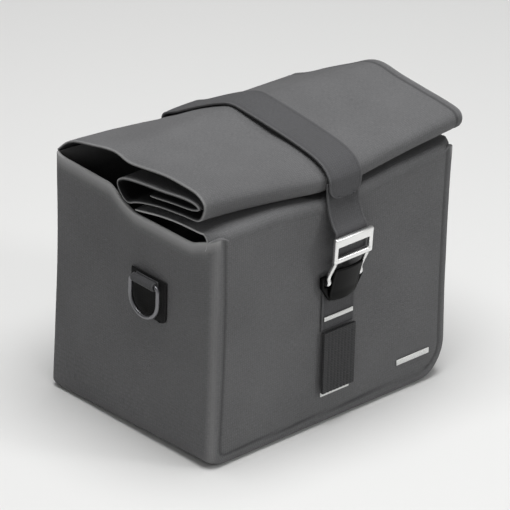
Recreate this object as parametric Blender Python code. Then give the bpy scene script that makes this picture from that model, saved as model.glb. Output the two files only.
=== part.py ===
"""A box-shaped roll-top handlebar bag in coated fabric, with a closure strap, a hook and two D-rings.

Metres, +Z up. The origin is the centre of the flat base, the front panel faces -Y, and +X is the wearer's
right when the front is looked at. Depth is counted from the back panel's outer face towards the front.
"""

import math

import bmesh
import bpy
import numpy as np
from mathutils import Vector

# Main bag
BODY_WIDTH = 0.190
BODY_DEPTH = 0.138
BODY_HEIGHT = 0.152
CLOTH = 0.0020
FRONT_EDGE_RADIUS = 0.007
BACK_EDGE_RADIUS = 0.004
BASE_RADIUS_RIGHT = 0.024
BASE_RADIUS_LEFT = 0.012
BASE_RADIUS_BACK = 0.005
BASE_EDGE_RADIUS = 0.005
WAIST = 0.0015
SEAM_GAP = 0.0003

# Rolled top
ROLL_RISE = 0.0245
ROLL_CLOTH = 0.0016
ROLL_LEFT_OVERHANG = 0.0005
ROLL_RIGHT_OVERHANG = 0.002
FOLD_DEPTH = 0.066
FOLD_INSET = 0.0005

# Closure strap
STRAP_WIDTH = 0.025
STRAP_CLOTH = 0.0014
STRAP_CENTRE = 0.0022
TONGUE_RADIUS = 0.007

# Hook
HOOK_WIDTH = 0.0297
HOOK_HEIGHT = 0.0165
HOOK_THICKNESS = 0.003
HOOK_TOP_BAR = 0.0062
HOOK_SLOT = 0.0068
HOOK_CHEEK = 0.0026
HOOK_TOP_Z = 0.1280
HOOK_STANDOFF = 0.0120
HOOK_LEAN = math.radians(3.0)
HOOK_BEVEL = 0.0008
LEG_RADIUS = 0.0013
LEG_SPREAD = 0.0124

# Loop that the hook catches
LOOP_TOP_Z = 0.1000
LOOP_HEIGHT = 0.0165
LOOP_TOP_WIDTH = 0.0325
LOOP_BASE_WIDTH = 0.0195
LOOP_THICKNESS = 0.0026
LOOP_BAR = 0.0028
LOOP_SLOT = 0.0038
LOOP_SLOT_WIDTH = 0.0280
LOOP_BEVEL = 0.0006
HOOK_CLEARANCE = 0.0003

# Front strip
TAB_WIDTH = 0.0255
TAB_TOP_Z = 0.0905
TAB_BOTTOM_Z = 0.0630
TAB_CLOTH = 0.0010
WEBBING_WIDTH = 0.0245
WEBBING_BOTTOM_Z = 0.0232
WEBBING_CLOTH = 0.0018
STRIPE_WIDTH = 0.0225
STRIPE_HEIGHT = 0.0027
STRIPE_FILM = 0.0006
UPPER_STRIPE_Z = 0.0710
LOWER_STRIPE_Z = 0.0210
BAR_WIDTH = 0.026
BAR_HEIGHT = 0.0035
BAR_CENTRE_X = 0.065
BAR_CENTRE_Z = 0.021

# D-rings
PATCH_WIDTH = 0.030
PATCH_TOP_Z = 0.1065
PATCH_HEIGHT = 0.0240
PATCH_CLOTH = 0.0012
RING_CENTRE_Y = -0.0145
RING_AXIS_Z = 0.1030
RING_WIDTH = 0.026
RING_HEIGHT = 0.0221
RING_WIRE = 0.0013
RING_CORNER = 0.003
RING_CLEARANCE = 0.0003
RING_LOOP_WIDTH = 0.0185
RING_LOOP_CLOTH = 0.0012
RING_LOOP_TAIL = 0.0028

# Back loops
BACK_LOOP_SPACING = 0.112
BACK_LOOP_LENGTH = 0.044
BACK_LOOP_FOOT = 0.007
BACK_LOOP_RAMP = 0.006
BACK_LOOP_WIDTH = 0.020
BACK_LOOP_GAP = 0.0052
BACK_LOOP_CLOTH = 0.0016
BACK_LOOP_Z = 0.118

# Top edge of the main bag, as shares of BODY_HEIGHT. The left and right edges run from back to front by share of
# the depth, the back and front edges from left to right by share of the width.
LEFT_EDGE = (
    (0.00, 1.000),
    (0.06, 0.990),
    (0.35, 0.984),
    (0.43, 0.938),
    (0.50, 0.914),
    (0.85, 0.914),
    (0.92, 0.942),
    (1.00, 0.974),
)
RIGHT_EDGE = (
    (0.00, 0.934),
    (0.08, 0.914),
    (0.50, 0.912),
    (0.88, 0.914),
    (0.94, 0.950),
    (1.00, 0.987),
)
BACK_EDGE = (
    (0.00, 1.000),
    (0.20, 0.982),
    (0.50, 0.954),
    (0.80, 0.940),
    (1.00, 0.934),
)
FRONT_EDGE = (
    (0, 0.974),
    (0.08, 0.984),
    (0.25, 0.983),
    (0.45, 0.960),
    (0.58, 0.960),
    (0.78, 0.982),
    (0.93, 0.992),
    (1, 0.987),
)

# Rolled top's section, outer face, from the back seam over the nose, under and inside. Depth is a share of
# BODY_DEPTH and rise a share of ROLL_RISE above BODY_HEIGHT, at the left end, under the strap and at the right end.
ROLL_SECTION = (
    # left depth, left rise, middle depth, middle rise, right depth, right rise
    (0.101, 0.53, 0.087, 0.08, 0.087, -0.12),
    (0.268, 0.78, 0.217, 0.51, 0.203, 0.24),
    (0.384, 0.90, 0.341, 0.86, 0.326, 0.61),
    (0.464, 0.84, 0.420, 1.00, 0.435, 0.94),
    (0.558, 0.90, 0.522, 0.92, 0.522, 1.06),
    (0.681, 1.00, 0.652, 0.82, 0.638, 0.98),
    (0.790, 0.98, 0.783, 0.78, 0.783, 0.92),
    (0.884, 0.90, 0.913, 0.65, 0.920, 0.86),
    (0.935, 0.69, 0.989, 0.43, 0.993, 0.78),
    (0.931, 0.41, 0.996, 0.16, 1.007, 0.53),
    (0.899, 0.18, 0.957, -0.06, 0.964, 0.27),
    (0.804, 0.12, 0.826, -0.12, 0.833, 0.12),
    (0.659, 0.02, 0.674, -0.18, 0.681, 0.00),
    (0.536, -0.14, 0.551, -0.24, 0.551, -0.12),
    (0.464, -0.29, 0.478, -0.27, 0.478, -0.20),
    (0.413, -0.08, 0.435, 0.00, 0.435, 0.04),
    (0.399, 0.16, 0.428, 0.29, 0.435, 0.33),
    (0.449, 0.33, 0.478, 0.45, 0.486, 0.53),
    (0.558, 0.43, 0.580, 0.47, 0.594, 0.57),
    (0.681, 0.51, 0.696, 0.41, 0.703, 0.57),
    (0.804, 0.61, 0.812, 0.35, 0.812, 0.57),
    (0.877, 0.61, 0.884, 0.31, 0.884, 0.55),
)

# Folded front edge under the roll: how far back as a share of FOLD_DEPTH, and the drop from the front panel's top
# as a share of ROLL_RISE, at the ends and under the strap.
FOLD_SECTION = (
    # back, drop at the ends, drop under the strap
    (0.06, -0.02, -0.02),
    (0.18, 0.04, 0.01),
    (0.40, 0.04, 0.02),
    (0.66, 0.12, 0.09),
    (1.00, 0.31, 0.22),
)

# Closure strap's route at its middle: shares of BODY_DEPTH, and of ROLL_RISE above BODY_HEIGHT.
OUTER_ROUTE = (
    # depth, rise
    (-0.011, -1.90),
    (-0.011, -0.55),
    (-0.010, -0.28),
    (0.004, -0.07),
    (0.080, 0.14),
    (0.212, 0.56),
    (0.336, 0.91),
    (0.418, 1.06),
    (0.520, 1.04),
    (0.650, 0.98),
    (0.770, 0.91),
    (0.860, 0.84),
    (0.930, 0.76),
    (0.985, 0.62),
    (1.019, 0.40),
    (1.024, 0.18),
    (1.026, 0.02),
    (1.027, -0.12),
)
INNER_ROUTE = (
    (1.0065, 0.26),
    (1.008, 0.08),
    (1.012, -0.20),
    (1.026, -0.50),
    (1.048, -0.76),
)

FRONT_Y = -BODY_DEPTH / 2
BACK_Y = BODY_DEPTH / 2


def clear_scene():
    for found in list(bpy.data.objects):
        bpy.data.objects.remove(found, do_unlink=True)


def finish(name, colour, roughness, metallic=0.0):
    """A plain Principled material."""
    made = bpy.data.materials.new(name)
    made.use_nodes = True
    shader = made.node_tree.nodes["Principled BSDF"]
    shader.inputs["Base Color"].default_value = (*colour, 1.0)
    shader.inputs["Roughness"].default_value = roughness
    shader.inputs["Metallic"].default_value = metallic
    return made


def add_object(name, data, material):
    made = bpy.data.objects.new(name, data)
    bpy.context.scene.collection.objects.link(made)
    data.materials.append(material)
    return made


def read_table(rows, at, column=1):
    """The value of a column at a place between the rows."""
    return float(np.interp(at, [row[0] for row in rows], [row[column] for row in rows]))


def smooth_route(points, steps):
    """A smooth curve through every point, with this many steps between two of them."""
    points = [Vector(p) for p in points]
    padded = [2 * points[0] - points[1], *points, 2 * points[-1] - points[-2]]
    route = []
    for i in range(1, len(padded) - 2):
        before, start, end, after = padded[i - 1 : i + 3]
        for step in range(steps):
            t = step / steps
            route.append(
                0.5
                * (
                    2 * start
                    + (end - before) * t
                    + (2 * before - 5 * start + 4 * end - after) * t**2
                    + (3 * start - before - 3 * end + after) * t**3
                )
            )
    route.append(points[-1])
    return route


def sheet(name, grid, thickness, material, offset=0.0):
    """A cloth sheet from rows of points, given its thickness: offset 0 is both ways, -1 against the normals."""
    mesh = bpy.data.meshes.new(name)
    shape = bmesh.new()
    rows = [[shape.verts.new(p) for p in row] for row in grid]
    for low, high in zip(rows, rows[1:]):
        for i in range(len(low) - 1):
            shape.faces.new((low[i], low[i + 1], high[i + 1], high[i]))
    shape.to_mesh(mesh)
    shape.free()
    mesh.shade_smooth()
    made = add_object(name, mesh, material)
    wall = made.modifiers.new("wall", "SOLIDIFY")
    wall.thickness = thickness
    wall.offset = offset
    wall.use_even_offset = True
    return made


def strap(name, route, across, widths, thickness, material):
    """A flat strap along a route: across is the direction of its width, widths one value for each point."""
    grid = [[p - across * w / 2, p + across * w / 2] for p, w in zip(route, widths)]
    return sheet(name, grid, thickness, material)


def block(name, low, high, material, bevel=0.0):
    """A rectangular piece between two corners, with its edges broken by a bevel."""
    mesh = bpy.data.meshes.new(name)
    shape = bmesh.new()
    bmesh.ops.create_cube(shape, size=1.0)
    low = Vector(low)
    size = Vector(high) - low
    for vertex in shape.verts:
        vertex.co = low + Vector((vertex.co[i] + 0.5) * size[i] for i in range(3))
    shape.to_mesh(mesh)
    shape.free()
    made = add_object(name, mesh, material)
    if bevel:
        edge = made.modifiers.new("edge", "BEVEL")
        edge.width = bevel
        edge.segments = 2
        edge.limit_method = "ANGLE"
    return made


def wire(name, route, radius, material, closed=False):
    """A round bar along a route."""
    data = bpy.data.curves.new(name, "CURVE")
    data.dimensions = "3D"
    data.bevel_depth = radius
    data.bevel_resolution = 2
    data.use_fill_caps = not closed
    line = data.splines.new("POLY")
    line.points.add(len(route) - 1)
    for point, place in zip(line.points, route):
        point.co = (*place, 1.0)
    line.use_cyclic_u = closed
    line.use_smooth = True
    return add_object(name, data, material)


def as_helper(helper):
    helper.hide_render = True
    helper.display_type = "WIRE"
    return helper


def boolean(made, helper, operation):
    change = made.modifiers.new(operation.lower(), "BOOLEAN")
    change.operation = operation
    change.object = as_helper(helper)


def top_edge(across, depth):
    """Height of the main bag's top edge at shares of its width and depth, blended from the four edges."""
    left = read_table(LEFT_EDGE, depth)
    right = read_table(RIGHT_EDGE, depth)
    back = read_table(BACK_EDGE, across)
    front = read_table(FRONT_EDGE, across)
    sides = (1 - across) * left + across * right
    ends = (1 - depth) * back + depth * front
    corners = (1 - across) * ((1 - depth) * LEFT_EDGE[0][1] + depth * LEFT_EDGE[-1][1])
    corners += across * ((1 - depth) * RIGHT_EDGE[0][1] + depth * RIGHT_EDGE[-1][1])
    return BODY_HEIGHT * (sides + ends - corners)


def round_inset(height, radius):
    """How far a quarter-round edge of this radius stands in at a height above its foot."""
    if height >= radius:
        return 0.0
    return radius - math.sqrt(radius**2 - (radius - height) ** 2)


def side_inset(height, top):
    return WAIST * math.sin(math.pi * min(height / top, 1.0))


def side_wall_x(height):
    """Distance of the side panels' outer face from the middle plane."""
    return BODY_WIDTH / 2 - side_inset(height, BODY_HEIGHT)


def plan_outline():
    """The main bag's full outline from above, anticlockwise: rounded corners joined by divided straights."""
    half_x = BODY_WIDTH / 2
    half_y = BODY_DEPTH / 2
    corners = (
        (half_x, -half_y, FRONT_EDGE_RADIUS, -90, 10),
        (half_x, half_y, BACK_EDGE_RADIUS, 0, 6),
        (-half_x, half_y, BACK_EDGE_RADIUS, 90, 10),
        (-half_x, -half_y, FRONT_EDGE_RADIUS, 180, 6),
    )
    arcs = []
    for x, y, radius, start, _ in corners:
        centre = Vector((x - math.copysign(radius, x), y - math.copysign(radius, y)))
        angles = [math.radians(start + 90 * step / 4) for step in range(5)]
        arcs.append([centre + radius * Vector((math.cos(a), math.sin(a))) for a in angles])
    outline = []
    for i, arc in enumerate(arcs):
        outline += arc
        following = arcs[(i + 1) % 4][0]
        parts = corners[i][4]
        outline += [arc[-1].lerp(following, n / parts) for n in range(1, parts)]
    return outline


def make_body_shell(cloth):
    """The hollow main bag: rings of the outline from the base to the top edge, with a wall inwards."""
    largest = max(BASE_RADIUS_RIGHT, BASE_RADIUS_LEFT)
    base_heights = [largest * (1 - math.cos(math.radians(a))) for a in (0, 12, 28, 45, 65, 90)]
    upper_shares = (0.25, 0.5, 0.75, 0.9, 1.0)
    mesh = bpy.data.meshes.new("body_shell")
    shape = bmesh.new()
    rings = []
    for level in range(len(base_heights) + len(upper_shares)):
        ring = []
        for point in plan_outline():
            across = point.x / BODY_WIDTH + 0.5
            depth = 0.5 - point.y / BODY_DEPTH
            top = top_edge(across, depth)
            if level < len(base_heights):
                z = base_heights[level]
            else:
                share = upper_shares[level - len(base_heights)]
                z = largest + share * (top - largest)
            front_radius = BASE_RADIUS_RIGHT if point.x > 0 else BASE_RADIUS_LEFT
            radius = BASE_RADIUS_BACK + (front_radius - BASE_RADIUS_BACK) * depth
            side = 1 - (round_inset(z, radius) + side_inset(z, BODY_HEIGHT)) / (BODY_WIDTH / 2)
            end = 1 - round_inset(z, BASE_EDGE_RADIUS) / (BODY_DEPTH / 2)
            ring.append(shape.verts.new((point.x * side, point.y * end, z)))
        rings.append(ring)
    count = len(rings[0])
    for low, high in zip(rings, rings[1:]):
        for i in range(count):
            j = (i + 1) % count
            shape.faces.new((low[i], low[j], high[j], high[i]))
    shape.faces.new(rings[0][::-1])
    shape.to_mesh(mesh)
    shape.free()
    mesh.shade_smooth()
    made = add_object("body_shell", mesh, cloth)
    wall = made.modifiers.new("wall", "SOLIDIFY")
    wall.thickness = CLOTH
    wall.offset = -1
    wall.use_even_offset = True
    return made


def strap_pull(x):
    """1 under the closure strap, falling to 0 at the bag's ends."""
    reach = max(0.0, abs(x - STRAP_CENTRE) - STRAP_WIDTH / 2 - 0.002)
    return (1 - min(1.0, reach / (BODY_WIDTH / 2 - STRAP_WIDTH / 2))) ** 1.3


def section_place(x, depth, rise):
    """A point from shares of BODY_DEPTH and of ROLL_RISE above BODY_HEIGHT."""
    return Vector((x, BACK_Y - depth * BODY_DEPTH, BODY_HEIGHT + rise * ROLL_RISE))


def across_share(x):
    return min(1.0, max(0.0, x / BODY_WIDTH + 0.5))


def make_roll_top(cloth):
    """The rolled top as one spiral sheet, from the back seam to its hidden inner edge."""
    left_end = -BODY_WIDTH / 2 - ROLL_LEFT_OVERHANG
    right_end = BODY_WIDTH / 2 + ROLL_RIGHT_OVERHANG
    grid = []
    for x in np.linspace(left_end, right_end, 17):
        pull = strap_pull(x)
        seam_z = top_edge(across_share(x), 0.0) + SEAM_GAP
        seam_y = BACK_Y - SEAM_GAP
        places = [Vector((x, seam_y, seam_z))]
        places.append(Vector((x, seam_y - 0.4 * ROLL_CLOTH, seam_z + ROLL_CLOTH)))
        for row in ROLL_SECTION:
            end = row[0:2] if x < 0 else row[4:6]
            depth = row[2] * pull + end[0] * (1 - pull)
            rise = row[3] * pull + end[1] * (1 - pull)
            places.append(section_place(x, depth, rise))
        grid.append(smooth_route(places, 2))
    return sheet("roll_top", grid, ROLL_CLOTH, cloth, offset=-1.0)


def make_front_fold(cloth):
    """The front panel's top edge, folded back over the opening under the roll."""
    half = BODY_WIDTH / 2 - FOLD_INSET
    grid = []
    for x in np.linspace(-half, half, 13):
        pull = strap_pull(x)
        top = top_edge(across_share(x), 1.0)
        places = [Vector((x, FRONT_Y + CLOTH, top + SEAM_GAP + ROLL_CLOTH / 2))]
        for back, end_drop, middle_drop in FOLD_SECTION:
            drop = middle_drop * pull + end_drop * (1 - pull)
            y = FRONT_Y + CLOTH + back * FOLD_DEPTH
            places.append(Vector((x, y, top + ROLL_CLOTH - drop * ROLL_RISE)))
        grid.append(smooth_route(places, 2))
    return sheet("front_fold", grid, ROLL_CLOTH, cloth)


def tongue_widths(route, width, radius):
    """The width at each point of a strap whose end has corners of this radius."""
    widths = []
    for point in route:
        left = (point - route[-1]).length
        cut = 0.0 if left >= radius else radius - math.sqrt(radius**2 - (radius - left) ** 2)
        widths.append(width - 2 * cut)
    return widths


def hook_place(across, down, out):
    """A point on the leaning hook: across, down its face from the top, and out of its middle plane."""
    origin = Vector((STRAP_CENTRE, FRONT_Y - HOOK_STANDOFF, HOOK_TOP_Z))
    face_down = Vector((0, math.sin(HOOK_LEAN), -math.cos(HOOK_LEAN)))
    face_out = Vector((0, -math.cos(HOOK_LEAN), -math.sin(HOOK_LEAN)))
    return origin + Vector((across, 0, 0)) + face_down * down + face_out * out


def make_strap_outer(cloth):
    route = smooth_route([section_place(STRAP_CENTRE, *row) for row in OUTER_ROUTE], 3)
    widths = tongue_widths(route, STRAP_WIDTH, TONGUE_RADIUS)
    return strap("strap_outer", route, Vector((1, 0, 0)), widths, STRAP_CLOTH, cloth)


def make_strap_inner(cloth):
    """The under layer, which leaves the nose and runs down behind the hook's plate."""
    behind = -HOOK_THICKNESS / 2 - HOOK_CLEARANCE - STRAP_CLOTH / 2
    places = [section_place(STRAP_CENTRE, *row) for row in INNER_ROUTE]
    ends = (-0.0015, 0.0025, HOOK_HEIGHT - HOOK_CHEEK)
    places += [hook_place(0, down, behind) for down in ends]
    route = smooth_route(places, 3)
    width = HOOK_WIDTH - 2 * HOOK_CHEEK
    return strap("strap_inner", route, Vector((1, 0, 0)), [width] * len(route), STRAP_CLOTH, cloth)


def make_hook(metal):
    """A leaning plate with a strap slot, joined to two legs that reach through the loop's slot."""
    half = HOOK_WIDTH / 2
    depth = HOOK_THICKNESS / 2
    plate = block("hook", (-half, -depth, -HOOK_HEIGHT), (half, depth, 0), metal, HOOK_BEVEL)
    plate.location = hook_place(0, 0, 0)
    plate.rotation_euler.x = HOOK_LEAN
    slot_half = half - HOOK_CHEEK
    slot_low = (-slot_half, -2 * depth, -HOOK_TOP_BAR - HOOK_SLOT)
    slot_high = (slot_half, 2 * depth, -HOOK_TOP_BAR)
    slot = block("hook_slot_cutter", slot_low, slot_high, metal)
    slot.location = plate.location
    slot.rotation_euler = plate.rotation_euler
    boolean(plate, slot, "DIFFERENCE")
    loop_front = FRONT_Y - loop_standoff() - LOOP_THICKNESS
    slot_z = LOOP_TOP_Z - LOOP_BAR - LOOP_SLOT / 2
    leg_y = loop_front - HOOK_CLEARANCE - LEG_RADIUS
    for side, name in ((-1, "hook_leg_left"), (1, "hook_leg_right")):
        x = STRAP_CENTRE + side * LEG_SPREAD
        start = hook_place(side * LEG_SPREAD, HOOK_HEIGHT - LEG_RADIUS, 0)
        places = [
            start,
            Vector((x, leg_y, LOOP_TOP_Z + LEG_RADIUS)),
            Vector((x, leg_y, slot_z + 1.5 * LEG_RADIUS)),
            Vector((x, leg_y + 0.6 * LEG_RADIUS, slot_z + 0.3 * LEG_RADIUS)),
            Vector((x, leg_y + 1.6 * LEG_RADIUS, slot_z)),
            Vector((x, loop_front + 0.7 * LOOP_THICKNESS, slot_z)),
        ]
        boolean(plate, as_mesh(wire(name, places, LEG_RADIUS, metal)), "UNION")
    return plate


def as_mesh(curve):
    """The same object with its curve turned into a mesh, as a Boolean needs."""
    name = curve.name
    graph = bpy.context.evaluated_depsgraph_get()
    mesh = bpy.data.meshes.new_from_object(curve.evaluated_get(graph))
    bpy.data.objects.remove(curve, do_unlink=True)
    made = bpy.data.objects.new(name, mesh)
    bpy.context.scene.collection.objects.link(made)
    welded = made.modifiers.new("weld", "WELD")
    welded.merge_threshold = 0.00001
    return made


def loop_standoff():
    """The loop's back face stands this far off the front panel, on its tab."""
    return 2 * SEAM_GAP + TAB_CLOTH


def make_hook_loop(plastic):
    """A tapered plate with a slot under its top bar."""
    y_back = FRONT_Y - loop_standoff()
    mesh = bpy.data.meshes.new("hook_loop")
    shape = bmesh.new()
    top = LOOP_TOP_WIDTH / 2
    base = LOOP_BASE_WIDTH / 2
    shoulder = -LOOP_BAR - LOOP_SLOT
    corners = ((-base, -LOOP_HEIGHT), (base, -LOOP_HEIGHT), (top, shoulder), (top, 0), (-top, 0), (-top, shoulder))
    face = shape.faces.new(
        [shape.verts.new((STRAP_CENTRE + x, y_back - LOOP_THICKNESS, LOOP_TOP_Z + z)) for x, z in corners]
    )
    pushed = bmesh.ops.extrude_face_region(shape, geom=[face])["geom"]
    moved = [item for item in pushed if isinstance(item, bmesh.types.BMVert)]
    bmesh.ops.translate(shape, verts=moved, vec=(0, LOOP_THICKNESS, 0))
    bmesh.ops.recalc_face_normals(shape, faces=shape.faces)
    shape.to_mesh(mesh)
    shape.free()
    made = add_object("hook_loop", mesh, plastic)
    edge = made.modifiers.new("edge", "BEVEL")
    edge.width = LOOP_BEVEL
    edge.segments = 2
    edge.limit_method = "ANGLE"
    slot_low = (
        STRAP_CENTRE - LOOP_SLOT_WIDTH / 2,
        y_back - 2 * LOOP_THICKNESS,
        LOOP_TOP_Z - LOOP_BAR - LOOP_SLOT,
    )
    slot_high = (STRAP_CENTRE + LOOP_SLOT_WIDTH / 2, y_back + LOOP_THICKNESS, LOOP_TOP_Z - LOOP_BAR)
    boolean(made, block("loop_slot_cutter", slot_low, slot_high, plastic), "DIFFERENCE")
    return made


def front_strip(name, centre_x, width, bottom, top, standoff, thickness, material):
    """A flat piece on the front panel."""
    back = FRONT_Y - standoff
    low = (centre_x - width / 2, back - thickness, bottom)
    high = (centre_x + width / 2, back, top)
    return block(name, low, high, material)


def make_front_strips(cloth, webbing, film):
    """The tab that carries the loop, the ribbed webbing, the two stripes and the plain pale bar."""
    front_strip("front_tab", STRAP_CENTRE, TAB_WIDTH, TAB_BOTTOM_Z, TAB_TOP_Z, SEAM_GAP, TAB_CLOTH, cloth)
    webbing_top = TAB_BOTTOM_Z - SEAM_GAP
    front_strip(
        "front_webbing",
        STRAP_CENTRE,
        WEBBING_WIDTH,
        WEBBING_BOTTOM_Z,
        webbing_top,
        SEAM_GAP,
        WEBBING_CLOTH,
        webbing,
    )
    stripes = (
        ("stripe_upper", UPPER_STRIPE_Z, 2 * SEAM_GAP + TAB_CLOTH),
        ("stripe_lower", LOWER_STRIPE_Z, SEAM_GAP),
    )
    for name, middle, standoff in stripes:
        low = middle - STRIPE_HEIGHT / 2
        front_strip(name, STRAP_CENTRE, STRIPE_WIDTH, low, low + STRIPE_HEIGHT, standoff, STRIPE_FILM, film)
    bar_low = BAR_CENTRE_Z - BAR_HEIGHT / 2
    front_strip("pale_bar", BAR_CENTRE_X, BAR_WIDTH, bar_low, bar_low + BAR_HEIGHT, SEAM_GAP, STRIPE_FILM, film)


def ring_axis_x():
    """Distance of the rings' axis from the middle plane: the wall, the patch, the loop round the bar."""
    wall = side_wall_x(PATCH_TOP_Z) + SEAM_GAP + PATCH_CLOTH
    return wall + SEAM_GAP + RING_LOOP_CLOTH + RING_CLEARANCE + RING_WIRE


def make_ring_patch(name, side, cloth):
    """A patch that follows the side panel."""
    grid = []
    for z in np.linspace(PATCH_TOP_Z - PATCH_HEIGHT, PATCH_TOP_Z, 4):
        x = side * (side_wall_x(z) + SEAM_GAP + PATCH_CLOTH / 2)
        ends = (RING_CENTRE_Y - PATCH_WIDTH / 2, RING_CENTRE_Y + PATCH_WIDTH / 2)
        grid.append([Vector((x, y, z)) for y in ends])
    return sheet(name, grid, PATCH_CLOTH, cloth)


def make_ring_loop(name, side, cloth):
    """A webbing loop: flat down from its stitched tail, then round the ring's bar and back up."""
    radius = RING_WIRE + RING_CLEARANCE + RING_LOOP_CLOTH / 2
    centre = Vector((side * ring_axis_x(), RING_CENTRE_Y, RING_AXIS_Z))
    inwards = Vector((-side, 0, 0))
    up = Vector((0, 0, 1))
    route = [centre + inwards * radius + up * RING_LOOP_TAIL]
    for turn in range(0, 286, 19):
        angle = math.radians(turn)
        route.append(centre + inwards * radius * math.cos(angle) - up * radius * math.sin(angle))
    return strap(name, route, Vector((0, 1, 0)), [RING_LOOP_WIDTH] * len(route), RING_LOOP_CLOTH, cloth)


def make_d_ring(name, side, metal):
    """A ring with a straight bar on its axis and a round lower side, hung from an empty on the axis."""
    half = RING_WIDTH / 2 - RING_WIRE
    drop = RING_HEIGHT - 2 * RING_WIRE
    places = []
    for turn in range(0, 91, 30):
        angle = math.radians(turn)
        y = half - RING_CORNER * (1 - math.sin(angle))
        places.append((y, -RING_CORNER * (1 - math.cos(angle))))
    for turn in range(0, 181, 15):
        angle = math.radians(turn)
        places.append((half * math.cos(angle), -(drop - half) - half * math.sin(angle)))
    for turn in range(90, -1, -30):
        angle = math.radians(turn)
        y = -half + RING_CORNER * (1 - math.sin(angle))
        places.append((y, -RING_CORNER * (1 - math.cos(angle))))
    axis = bpy.data.objects.new(name + "_axis", None)
    axis.location = (side * ring_axis_x(), RING_CENTRE_Y, RING_AXIS_Z)
    bpy.context.scene.collection.objects.link(axis)
    made = wire(name, [Vector((0, y, z)) for y, z in places], RING_WIRE, metal, closed=True)
    made.parent = axis
    return made


def make_back_loop(name, side, cloth):
    """A plain loop whose two ends lie on the back panel and whose middle stands off for a strap."""
    flat = BACK_LOOP_CLOTH / 2 + SEAM_GAP
    raised = BACK_LOOP_GAP + BACK_LOOP_CLOTH / 2
    half = BACK_LOOP_LENGTH / 2
    inner = half - BACK_LOOP_FOOT
    stops = (-half, -inner, -inner + BACK_LOOP_RAMP, inner - BACK_LOOP_RAMP, inner, half)
    heights = (flat, flat, raised, raised, flat, flat)
    route = []
    for x, out in zip(stops, heights):
        route.append(Vector((side * BACK_LOOP_SPACING / 2 + x, BACK_Y + out, BACK_LOOP_Z)))
    return strap(name, route, Vector((0, 0, 1)), [BACK_LOOP_WIDTH] * len(route), BACK_LOOP_CLOTH, cloth)


def make_bag():
    clear_scene()
    body_cloth = finish("body_cloth", (0.10, 0.10, 0.105), 0.85)
    strap_cloth = finish("strap_cloth", (0.08, 0.08, 0.085), 0.85)
    webbing = finish("webbing", (0.045, 0.045, 0.048), 0.8)
    black_cloth = finish("black_cloth", (0.015, 0.015, 0.016), 0.7)
    film = finish("pale_film", (0.70, 0.70, 0.70), 0.4)
    bright_metal = finish("bright_metal", (0.85, 0.85, 0.85), 0.25, 1.0)
    ring_metal = finish("ring_metal", (0.35, 0.35, 0.36), 0.3, 1.0)
    black_plastic = finish("black_plastic", (0.012, 0.012, 0.012), 0.2)
    make_body_shell(body_cloth)
    make_roll_top(body_cloth)
    make_front_fold(body_cloth)
    make_strap_outer(strap_cloth)
    make_strap_inner(strap_cloth)
    make_hook(bright_metal)
    make_hook_loop(black_plastic)
    make_front_strips(strap_cloth, webbing, film)
    for side, word in ((-1, "left"), (1, "right")):
        make_ring_patch("ring_patch_" + word, side, black_cloth)
        make_ring_loop("ring_loop_" + word, side, strap_cloth)
        make_d_ring("d_ring_" + word, side, ring_metal)
        make_back_loop("back_loop_" + word, side, webbing)


make_bag()
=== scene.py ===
import math

import bpy
from mathutils import Matrix, Quaternion, Vector, noise


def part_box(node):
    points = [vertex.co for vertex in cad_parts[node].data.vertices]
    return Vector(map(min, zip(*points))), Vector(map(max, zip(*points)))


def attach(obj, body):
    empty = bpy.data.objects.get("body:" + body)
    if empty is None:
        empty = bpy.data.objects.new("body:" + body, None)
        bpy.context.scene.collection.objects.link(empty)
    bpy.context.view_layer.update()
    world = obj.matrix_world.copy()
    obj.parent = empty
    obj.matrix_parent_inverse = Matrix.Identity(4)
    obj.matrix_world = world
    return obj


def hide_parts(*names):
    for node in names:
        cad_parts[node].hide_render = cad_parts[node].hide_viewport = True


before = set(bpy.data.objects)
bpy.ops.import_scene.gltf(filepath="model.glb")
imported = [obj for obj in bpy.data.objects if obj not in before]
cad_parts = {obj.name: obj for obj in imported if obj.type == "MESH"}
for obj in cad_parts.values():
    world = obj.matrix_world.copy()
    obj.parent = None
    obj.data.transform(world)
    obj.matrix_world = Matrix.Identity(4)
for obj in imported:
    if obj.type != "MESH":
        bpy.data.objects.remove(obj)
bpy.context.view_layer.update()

# Camera: the photograph looks at the bag's left front corner from a little above, through a long lens, so
# nearly without convergence. One pixel of the photograph is 1 / 731 m at the bag, and the frame is drawn in
# closer by zoom.
view_from = math.radians(-43.4)
view_above = math.radians(27.6)
view_roll = math.radians(1.8)
photo_pixels = 510
pixels_per_metre = 731
zoom = 2.35
view_distance = 4.0
view_target = Vector((0.0015, 0, 0.081))
view_back = Vector(
    (
        math.sin(view_from) * math.cos(view_above),
        -math.cos(view_from) * math.cos(view_above),
        math.sin(view_above),
    )
)
bpy.ops.object.select_all(action="DESELECT")
bpy.ops.object.camera_add(location=view_target + view_back * view_distance)
camera = bpy.context.object
camera.rotation_euler = (
    view_back.to_track_quat("Z", "Y") @ Quaternion((0, 0, 1), view_roll)
).to_euler()
camera.data.sensor_width = 36
camera.data.lens = 36 * view_distance * pixels_per_metre * zoom / photo_pixels
camera.data.clip_end = 50
bpy.context.scene.camera = camera


# Studio: a white floor and three soft boxes, the strongest overhead and the next at the right front, so
# that the top is lightest, the front next and the left side darkest, and the strap's shadow falls to its
# left.
def linear(colour):
    """An sRGB hex colour as linear red, green, blue and alpha."""
    channels = [int(colour[i : i + 2], 16) / 255 for i in (1, 3, 5)]
    return [c / 12.92 if c <= 0.04045 else ((c + 0.055) / 1.055) ** 2.4 for c in channels] + [1.0]


def new_material(name):
    """An empty material whose tree ends in a Principled shader."""
    made = bpy.data.materials.new(name)
    made.use_nodes = True
    return made, made.node_tree, made.node_tree.nodes["Principled BSDF"]


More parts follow.
